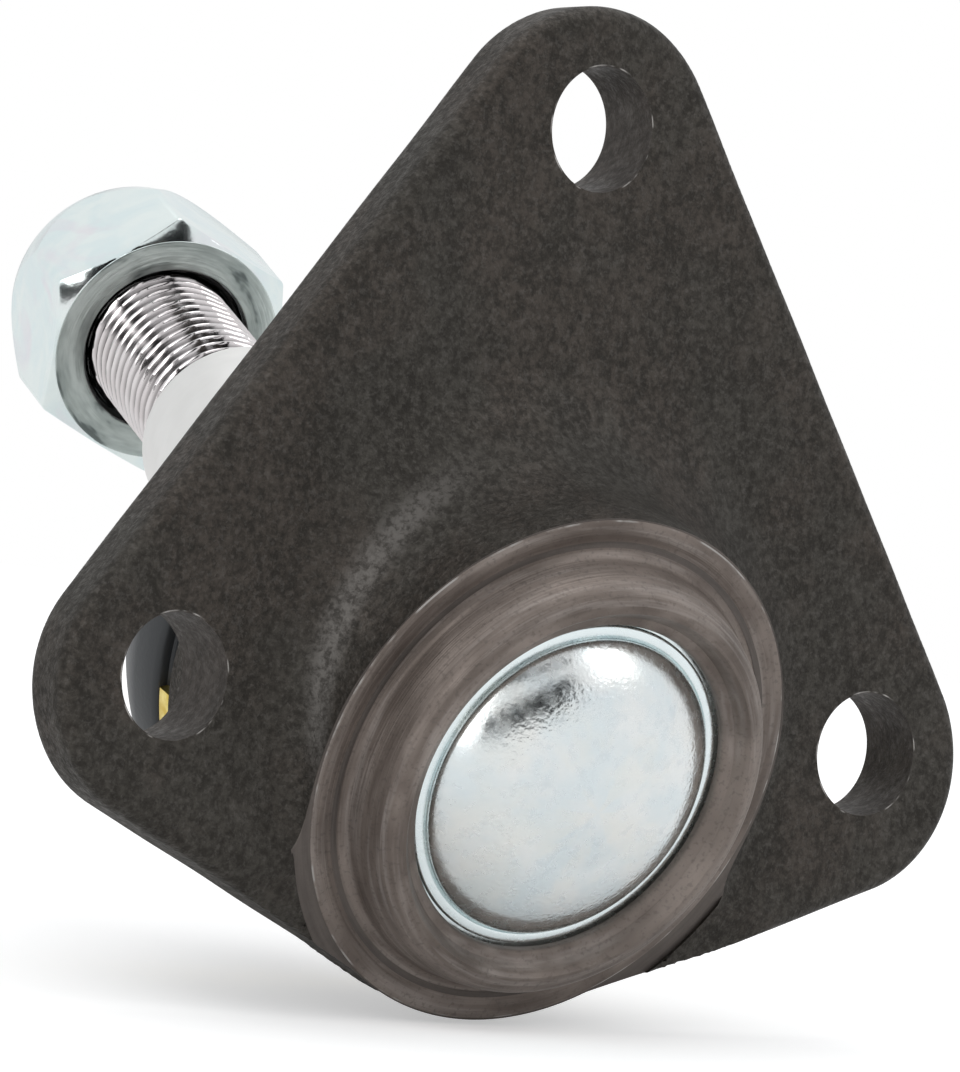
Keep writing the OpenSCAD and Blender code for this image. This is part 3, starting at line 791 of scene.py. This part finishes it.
def cap_zinc():
    """Bright bluish zinc: faint cloudy tints, soft rings, and dimples like orange peel on the shoulder."""
    made, tree, shader = new_material("cap_zinc", metallic=1.0)
    boss = in_frame(tree, BOSS_TILT)
    cloud = noise(tree, boss, 160.0, 3.0, 0.6)
    fine = noise(tree, boss, 900.0, 3.0, 0.6)
    rings = use_group(tree, tool_rings, {"Place": boss, "Rings": 700.0, "Along": 0.0})
    colour = mix_colour(tree, ramp(tree, cloud, 0.35, 0.65), ZINC_COOL, ZINC_PALE)
    colour = mix_colour(tree, ramp(tree, fine, 0.5, 0.75, 0.0, 0.3), colour, ZINC_DULL)
    colour = mix_colour(tree, ramp(tree, rings["Streak"], 0.42, 0.62, 0.0, 0.3), colour, ZINC_WARM)
    colour = mix_colour(tree, ramp(tree, rings["Radius"], 0.01385, 0.01405), colour, ZINC_RIM)
    tree.links.new(colour, shader.inputs["Base Color"])
    tree.links.new(ramp(tree, fine, 0.3, 0.7, 0.18, 0.3), shader.inputs["Roughness"])
    inside = ramp(tree, rings["Radius"], 0.0066, 0.0088, 0.05, 1.0)
    band = times(tree, inside, ramp(tree, rings["Radius"], 0.0098, 0.0122, 1.0, 0.2))
    peel = times(tree, noise(tree, boss, 2600.0, 1.0, 0.4), band)
    soft_rings = bump(tree, rings["Height"], CAP_RING_DEPTH)
    tree.links.new(bump(tree, peel, PEEL_DEPTH, soft_rings), shader.inputs["Normal"])
    return made


cap.data.materials.append(cap_zinc())


# Ball stud
# Ground steel: the ball, its neck, the land for the boot's collar, the taper, and a rolled M14 fine thread.
# The thread is one helix that starts under the taper's end and runs out at the chamfered tip.
REST_SWING = math.radians(13.5)
NECK_R = 7.25
NECK_START = 13.3
NECK_END = 22.5
LAND_START = 29.0
LAND_R = 9.8
TAPER_START = 38.8
TAPER_END = 49.5
TAPER_R = (9.535, 9.0)
THREAD_R = 7.0
THREAD_START = 50.0
THREAD_CORE = 5.6
STUD_END = 87.0
PITCH = 1.5
THREAD_DEPTH = 0.92
CREST_SHARE = 0.12
FLANK_SHARE = 0.74
THREAD_SIDES = 96
THREAD_ROWS = 16
TIP_CHAMFER = 1.3
TIP_SLOPE = 1.7

STUD_AXIS = math.cos(REST_SWING) * BOSS_AXIS + math.sin(REST_SWING) * BOSS_SIDE
STUD_SIDE = math.cos(REST_SWING) * BOSS_SIDE - math.sin(REST_SWING) * BOSS_AXIS
STUD_FRAME = np.array([STUD_SIDE, BOSS_DOWN, STUD_AXIS])

ball_end = math.asin(NECK_R / BALL_R)
ball = [(BALL_R * math.sin(a), -BALL_R * math.cos(a)) for a in np.linspace(0, math.pi - ball_end, 60)]
shank_profile = (
    ball
    + [(NECK_R, NECK_START), (NECK_R, NECK_END)]
    + [(NECK_R + 0.25, NECK_END + 1.0), (NECK_R + 1.1, NECK_END + 3.2)]
    + [(LAND_R - 0.5, LAND_START - 1.6), (LAND_R - 0.1, LAND_START - 0.5), (LAND_R, LAND_START)]
    + [(LAND_R, TAPER_START - 0.25), (LAND_R - 0.06, TAPER_START - 0.05), (TAPER_R[0], TAPER_START)]
    + bow((TAPER_R[1] - 0.45, TAPER_END - 0.05), 0.45, 5, 85, 6)
    + [(THREAD_R - 0.2, TAPER_END + 0.42), (THREAD_CORE, TAPER_END + 0.5), (THREAD_CORE, TAPER_END + 2)]
    + [(0, TAPER_END + 2)])
points, faces = turned(shank_profile, 192, STUD_FRAME)
shank = new_mesh("stud_shank", points, faces, 30)
finish_piece(shank, "stud", "ground_steel", "ball_stud")


def thread_grid():
    """Points of the thread: r = THREAD_R - THREAD_DEPTH * run * groove(z / PITCH - angle / 2 pi).

    groove rises straight from 0 on a crest to 1 in a root, and run fades the thread in at its start. The
    chamfer limits r at the tip. The first and the last row lie on the axis and close the ends.
    """
    rows = int((STUD_END - THREAD_START) / PITCH * THREAD_ROWS)
    z = np.linspace(THREAD_START, STUD_END, rows)[:, None]
    angle = np.linspace(0, 2 * math.pi, THREAD_SIDES, endpoint=False)[None, :]
    phase = np.mod(z / PITCH - angle / (2 * math.pi), 1.0)
    groove = np.clip((np.abs(2 * phase - 1) - CREST_SHARE) / FLANK_SHARE, 0, 1)
    run = np.clip((z - THREAD_START - 0.3) / 0.9, 0, 1)
    tip = THREAD_R + TIP_CHAMFER - np.clip(z - STUD_END + TIP_CHAMFER, 0, 2) * TIP_SLOPE
    r = np.minimum(np.minimum(THREAD_R - THREAD_DEPTH * groove * run, tip), THREAD_R)
    r[[0, -1]] = 0
    grid = np.stack([r * np.cos(angle), r * np.sin(angle), z + 0 * angle], -1)
    return grid.reshape(-1, 3) @ STUD_FRAME, grid_faces(rows, THREAD_SIDES)


points, faces = thread_grid()
thread = new_mesh("stud_thread", points, faces, 40)
finish_piece(thread, "stud", "ground_steel", "ball_stud")


CONE_COLOURS = ((0.80, 0.79, 0.77), (0.84, 0.83, 0.81))
THREAD_COLOURS = ((0.76, 0.71, 0.71), (0.86, 0.82, 0.82))
# Colour of the painted shade in the thread's valleys.
VALLEY_SHADE = (0.10, 0.09, 0.09)


def ground_steel(name, roughness, low, high, valley_shade=0.0):
    """Pale ground steel with grinding lines round the stud's axis; valley_shade paints shade below the crests.
    """
    made, tree, shader = new_material(name, metallic=1.0)
    local = in_frame(tree, BOSS_TILT, REST_SWING)
    lines = use_group(tree, tool_rings, {"Place": local, "Rings": 0.0, "Along": 6000.0})
    cloud = noise(tree, local, 240.0, 3.0)
    colour = mix_colour(tree, ramp(tree, cloud, 0.3, 0.7), low, high)
    # Painted shade: darker below the thread's crests.
    hollow_shade = ramp(tree, lines["Radius"], (THREAD_R - 0.45) / 1000, (THREAD_R - 0.1) / 1000, valley_shade, 0.0)
    tree.links.new(mix_colour(tree, hollow_shade, colour, VALLEY_SHADE), shader.inputs["Base Color"])
    rough = ramp(tree, lines["Streak"], 0.3, 0.7, roughness, roughness + 0.08)
    tree.links.new(rough, shader.inputs["Roughness"])
    tree.links.new(bump(tree, lines["Height"], 0.000004), shader.inputs["Normal"])
    return made


shank.data.materials.append(ground_steel("ground_cone", 0.36, *CONE_COLOURS))
thread.data.materials.append(ground_steel("rolled_thread", 0.08, *THREAD_COLOURS, valley_shade=0.6))


# Hexagon nut
# A zinc-plated lock nut, 22 mm across flats and 15 mm high. Its inner face is chamfered to a circle, its
# outer end narrows to a crown, and the bore is countersunk. It is one grid round the axis.
NUT_FLATS = 22.0
NUT_H = 15.0
NUT_CROWN = 8.4
NUT_TOP = (10.0, 0.75)
NUT_OUT = 71.2
NUT_TURN = math.radians(17.9)
NUT_FACE_R = 10.7
NUT_BORE_R = 7.1
NUT_SINK_R = 8.0
NUT_CORNER_ROUND = 0.7
NUT_EDGE = 0.16
NUT_SINK = 0.9
NUT_CORNERS_R = NUT_FLATS / math.sqrt(3)
NUT_CHAMFER = math.radians(30)


def hexagon_radius(angle):
    """Distance from the axis to a hexagon with rounded corners, the first of them at angle 0."""
    off = np.abs(np.mod(angle + math.pi / 6, math.pi / 3) - math.pi / 6)
    centre = (NUT_FLATS / 2 - NUT_CORNER_ROUND) / math.cos(math.pi / 6)
    flat = NUT_FLATS / 2 / np.cos(math.pi / 6 - off)
    inside = np.maximum(NUT_CORNER_ROUND ** 2 - (centre * np.sin(off)) ** 2, 0)
    rounded = centre * np.cos(off) + np.sqrt(inside)
    limit = math.atan2(NUT_CORNER_ROUND / 2, centre + NUT_CORNER_ROUND * math.cos(math.pi / 6))
    return np.where(off < limit, rounded, flat)


def nut_grid():
    """Rows from the inner face's bore edge out over the chamfer, flats and crown, and back through the bore.

    The chamfer drops by (reach - NUT_FACE_R) * slope, where reach is the hexagon's radius, and the crown's
    cone meets the flats at rim.
    """
    corner = np.arange(6) * math.pi / 3
    local = np.concatenate([np.linspace(-0.06, 0.06, 13), np.linspace(0.09, math.pi / 3 - 0.09, 24)])
    angle = (corner[:, None] + local).ravel()[None, :]
    reach = hexagon_radius(angle)
    slope = math.tan(NUT_CHAMFER)
    drop = (reach - NUT_FACE_R) * slope
    flat = 0 * angle
    taper = (NUT_CORNERS_R - NUT_TOP[0] - NUT_TOP[1]) / (NUT_H - NUT_TOP[1] - NUT_CROWN)
    rim = NUT_CROWN + (NUT_CORNERS_R - reach) / taper
    half = [
        (NUT_BORE_R + flat, 1.0 + flat), (NUT_BORE_R + flat, NUT_SINK + flat),
        (NUT_SINK_R - 0.06 + flat, 0.05 + flat), (NUT_SINK_R + 0.06 + flat, flat),
        (NUT_FACE_R - 0.12 + flat, flat), (NUT_FACE_R + flat, 0.025 + flat),
        (NUT_FACE_R + 0.12 + flat, 0.09 + flat),
        (reach - NUT_EDGE * 1.4, drop - NUT_EDGE * 1.4 * slope + 0.012),
        (reach - NUT_EDGE * 0.45, drop - NUT_EDGE * 0.12), (reach - NUT_EDGE * 0.06, drop + NUT_EDGE * 0.5),
        (reach, drop + NUT_EDGE * 1.5)]
    crown = [
        (reach, rim - NUT_EDGE), (reach - 0.02, rim), (reach - NUT_EDGE * 0.6, rim + NUT_EDGE),
        (NUT_TOP[0] + NUT_TOP[1] + 0.03 + flat, NUT_H - NUT_TOP[1] - 0.1 + flat),
        (NUT_TOP[0] + NUT_TOP[1] - 0.06 + flat, NUT_H - NUT_TOP[1] + 0.1 + flat),
        (NUT_TOP[0] + 0.05 + flat, NUT_H - 0.03 + flat), (NUT_TOP[0] - 0.1 + flat, NUT_H + flat)]
    bore = [(r, NUT_H - z) for r, z in half[:4][::-1]]
    rows = half + crown + bore + half[:1]
    r = np.concatenate([row[0] for row in rows])
    z = np.concatenate([row[1] for row in rows]) + NUT_OUT
    turn = angle + NUT_TURN
    grid = np.stack([r * np.cos(turn), r * np.sin(turn), z], -1)
    return grid.reshape(-1, 3) @ STUD_FRAME, grid_faces(len(rows), angle.shape[1])


points, faces = nut_grid()
nut = new_mesh("nut_body", points, faces, 24)
finish_piece(nut, "nut", "zinc_plate", "hex_nut")


PLATE_COOL = (0.80, 0.90, 0.90)
PLATE_PALE = (0.87, 0.94, 0.92)
PLATE_PINK = (0.86, 0.78, 0.84)
FACE_DARK = (0.44, 0.50, 0.48)
FACE_LIGHT = (0.68, 0.75, 0.72)
FACE_STREAK = (0.10, 0.12, 0.12)
# Colour of the painted shade in the nut's countersink.
SINK_SHADE = (0.015, 0.017, 0.017)


def nut_zinc():
    """Satin iridescent zinc on the flats, bright chamfers, duller greener faces with turning marks, and painted
    shade, near black, in the countersink.
    """
    made, tree, shader = new_material("nut_zinc", metallic=1.0)
    local = in_frame(tree, BOSS_TILT, REST_SWING)
    marks = use_group(tree, tool_rings, {"Place": local, "Rings": 2300.0, "Along": 0.0})
    end = away_from(tree, parts_of(tree, local)[2], (NUT_OUT + NUT_H / 2) / 1000)
    face = ramp(tree, end, NUT_H / 2000 - 0.00006, NUT_H / 2000 - 0.00003)
    cloud = noise(tree, local, 210.0, 3.0, 0.6, 0.8)
    tint = noise(tree, local, 120.0, 2.0, 0.5, 1.4)
    plate = mix_colour(tree, ramp(tree, cloud, 0.35, 0.65), PLATE_COOL, PLATE_PALE)
    plate = mix_colour(tree, ramp(tree, tint, 0.5, 0.75, 0.0, 0.5), plate, PLATE_PINK)
    dull = mix_colour(tree, ramp(tree, marks["Streak"], 0.35, 0.65), FACE_DARK, FACE_LIGHT)
    dull = mix_colour(tree, ramp(tree, marks["Streak"], 0.32, 0.42, 0.75, 0.0), dull, FACE_STREAK)
    # Painted shade: the countersink round the bore is darkened almost to black.
    hollow_shade = ramp(tree, marks["Radius"], 0.0078, 0.0081, 0.95, 0.0)
    colour = mix_colour(tree, hollow_shade, mix_colour(tree, face, plate, dull), SINK_SHADE)
    tree.links.new(colour, shader.inputs["Base Color"])
    chamfer = ramp(tree, end, NUT_H / 2000 - 0.0016, NUT_H / 2000 - 0.0011, 0.24, 0.1)
    tree.links.new(plus(tree, chamfer, times(tree, face, 0.26)), shader.inputs["Roughness"])
    rings = bump(tree, times(tree, marks["Height"], face), 0.00006)
    tree.links.new(bump(tree, noise(tree, local, 900.0, 2.0), 0.00001, rings), shader.inputs["Normal"])
    return made


nut.data.materials.append(nut_zinc())


# Dust boot
# Black rubber, 1.7 mm thick: a low dome from the ring that clamps it on the stub to a collar on the stud.
# It leans with the stud. Two closed shells meet at a seam.
BOOT_R = 23.6
BOOT_WALL = 1.7
BOOT_INNER_R = 21.7
BOOT_BASE_IN = 20.7
BOOT_RING_IN = 22.1
RING_START = 1.0
RING_STOP = 3.0
BOOT_SKIRT = (23.3, 3.6)
BOOT_BELLY = 6.5
BOOT_WAIST = (18.0, 17.0)
COLLAR_R = 11.6
COLLAR_IN = 10.1
COLLAR_START = 30.0
COLLAR_END = 34.0
GROOVE = (31.9, 32.9)
BEND_START = 5.0
BEND_LENGTH = 24.0
BOOT_SEAM = 21.0
BOOT_SIDES = 160


def bezier(p0, p1, p2, p3, count):
    """Points of a cubic curve from p0 to p3, as an array."""
    t = np.linspace(0, 1, count)[:, None]
    p0, p1, p2, p3 = (np.array(p, float) for p in (p0, p1, p2, p3))
    return (1 - t) ** 3 * p0 + 3 * (1 - t) ** 2 * t * p1 + 3 * (1 - t) * t * t * p2 + t ** 3 * p3


def leaned(section):
    """Points of a closed section carried round the boss's axis and leaned about the ball with the stud.

    A point's share of the lean is t * t * (3 - 2 * t), where t goes from 0 to 1 over BEND_LENGTH from
    BEND_START.
    """
    r, z = np.array(section, float).T[:, :, None]
    angle = np.arange(BOOT_SIDES)[None, :] * 2 * math.pi / BOOT_SIDES
    t = np.clip((z - BEND_START) / BEND_LENGTH, 0, 1)
    swing = REST_SWING * t * t * (3 - 2 * t)
    x = r * np.cos(angle)
    across = x * np.cos(swing) + z * np.sin(swing)
    along = z * np.cos(swing) - x * np.sin(swing)
    local = np.stack([across, r * np.sin(angle), along], -1)
    return local.reshape(-1, 3) @ BOSS_FRAME, grid_faces(len(section), BOOT_SIDES)


outer = np.concatenate([
    bezier(BOOT_SKIRT, (BOOT_R, 4.8), (BOOT_R, 5.5), (BOOT_R, BOOT_BELLY), 8)[:-1],
    bezier((BOOT_R, BOOT_BELLY), (BOOT_R, BOOT_BELLY + 3), BOOT_WAIST, (COLLAR_R, COLLAR_START), 48)])
inner = bezier((BOOT_INNER_R, 7.4), (BOOT_INNER_R, 9.6), (BOOT_WAIST[0] - 1.53, BOOT_WAIST[1] - 0.85),
               (COLLAR_IN, COLLAR_START - BOOT_WALL / 2), 40)
outer_cut = int(np.argmax(outer[:, 1] > BOOT_SEAM))
inner_cut = int(np.argmax(inner[:, 1] > BOOT_SEAM - 0.7))
base = [(BOOT_BASE_IN, RING_START + 0.2), (BOOT_BASE_IN + 0.2, RING_START), (BOOT_RING_IN - 0.2, RING_START),
        (BOOT_RING_IN, RING_START + 0.2), (BOOT_RING_IN, RING_STOP + 0.1),
        (BOOT_RING_IN + 0.2, RING_STOP + 0.3), (BOOT_SKIRT[0] - 0.3, RING_STOP + 0.35)]
lower_section = np.concatenate([
    base, outer[:outer_cut + 1], inner[:inner_cut + 1][::-1],
    [(BOOT_INNER_R, 4.7), (BOOT_BASE_IN, 4.4), base[0]]])
upper_section = np.concatenate([
    outer[outer_cut:],
    [(COLLAR_R, GROOVE[0] - 0.2), (COLLAR_R - 0.5, GROOVE[0]), (COLLAR_R - 0.5, GROOVE[1])],
    [(COLLAR_R, GROOVE[1] + 0.2), (COLLAR_R, COLLAR_END - 0.25), (COLLAR_R - 0.25, COLLAR_END)],
    [(COLLAR_IN + 0.2, COLLAR_END), (COLLAR_IN, COLLAR_END - 0.2)],
    inner[inner_cut:][::-1], outer[outer_cut:outer_cut + 1]])
points, faces = leaned(lower_section)
boot_low = new_mesh("boot_lower", points, faces, 40)
points, faces = leaned(upper_section)
boot_high = new_mesh("boot_upper", points, faces, 40)

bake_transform(boot_low)
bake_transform(boot_high)
for shell in (boot_low, boot_high):
    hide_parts("boot")


def black_rubber(name, colour):
    """Moulded rubber with a soft sheen and a very fine grain."""
    made, tree, shader = new_material(name, roughness=0.42, colour=colour)
    place = node(tree, "ShaderNodeTexCoord").outputs["Object"]
    tree.links.new(bump(tree, noise(tree, place, 2200.0, 2.0), 0.00002), shader.inputs["Normal"])
    return made


rubber = black_rubber("black_rubber", (0.026, 0.029, 0.032))
boot_low.data.materials.append(rubber)
boot_high.data.materials.append(rubber)


# Boot rings
# Round the base lies an open ring of flat wire, plated yellow, whose gap faces the left bolt hole.
# Round the neck lies a small steel wire ring in the collar's groove.
RING_INNER = 22.4
RING_OUTER = 23.3
RING_GAP = (163.0, 178.0)
WIRE_R = 0.55
NECK_RING_R = 11.75
NECK_RING_AT = 32.4


def swept(sections):
    """Points and faces of sections, an array (rows, columns, 3), closed at both ends to their centres."""
    first = np.repeat(sections[:1].mean(1, keepdims=True), sections.shape[1], 1)
    last = np.repeat(sections[-1:].mean(1, keepdims=True), sections.shape[1], 1)
    rows = np.concatenate([first, sections, last])
    return rows.reshape(-1, 3), grid_faces(rows.shape[0], rows.shape[1])


def base_ring_sections():
    """Rounded flat-wire sections from one side of the gap round to the other."""
    turn = np.radians(np.linspace(RING_GAP[1], 360 + RING_GAP[0], 240))[:, None]
    flat = []
    for cr, cz, start in ((RING_OUTER, RING_STOP, 0), (RING_INNER, RING_STOP, 90),
                          (RING_INNER, RING_START, 180), (RING_OUTER, RING_START, 270)):
        inward = (-0.18 if cr == RING_OUTER else 0.18, -0.18 if cz == RING_STOP else 0.18)
        flat += bow((cr + inward[0], cz + inward[1]), 0.18, start, start + 90, 4)
    r, z = np.array(flat).T[:, None, :]
    return np.stack([r * np.cos(turn), r * np.sin(turn), z + 0 * turn], -1) @ BOSS_FRAME


points, faces = swept(base_ring_sections())
base_ring = new_mesh("base_ring_wire", points, faces, 40)
finish_piece(base_ring, "housing", "yellow_zinc", "boot_base_ring")
wire_profile = bow((NECK_RING_R, NECK_RING_AT), WIRE_R, 0, 360, 17)
points, faces = turned(wire_profile, 128, STUD_FRAME)
neck_ring = new_mesh("neck_ring_wire", points, faces)
finish_piece(neck_ring, "boot_neck", "spring_steel", "boot_neck_ring")


def plain_metal(name, roughness, dark, light, cells=600.0):
    """Metal with one soft mottling between two colours."""
    made, tree, shader = new_material(name, metallic=1.0, roughness=roughness)
    place = node(tree, "ShaderNodeTexCoord").outputs["Object"]
    spots = noise(tree, place, cells, 3.0)
    tree.links.new(mix_colour(tree, ramp(tree, spots, 0.35, 0.65), dark, light), shader.inputs["Base Color"])
    tree.links.new(bump(tree, spots, 0.00002), shader.inputs["Normal"])
    return made


base_ring.data.materials.append(plain_metal("yellow_zinc", 0.3, (0.72, 0.52, 0.10), (0.92, 0.76, 0.28)))
spring_wire = plain_metal("spring_steel", 0.34, (0.22, 0.22, 0.23), (0.34, 0.34, 0.35))
neck_ring.data.materials.append(spring_wire)


# Pieces inside the boss
# The seal, the disc spring and the two bearing seats keep the shapes of the CAD model and only get materials.
seat_metal = plain_metal("bearing_seat", 0.4, (0.30, 0.29, 0.27), (0.42, 0.40, 0.37))
for name, finish in (("cap_seal", rubber), ("preload_spring", spring_wire), ("lower_seat", seat_metal),
                     ("upper_seat", seat_metal)):
    inner_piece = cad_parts[name]
    inner_piece.data.materials.clear()
    inner_piece.data.materials.append(finish)
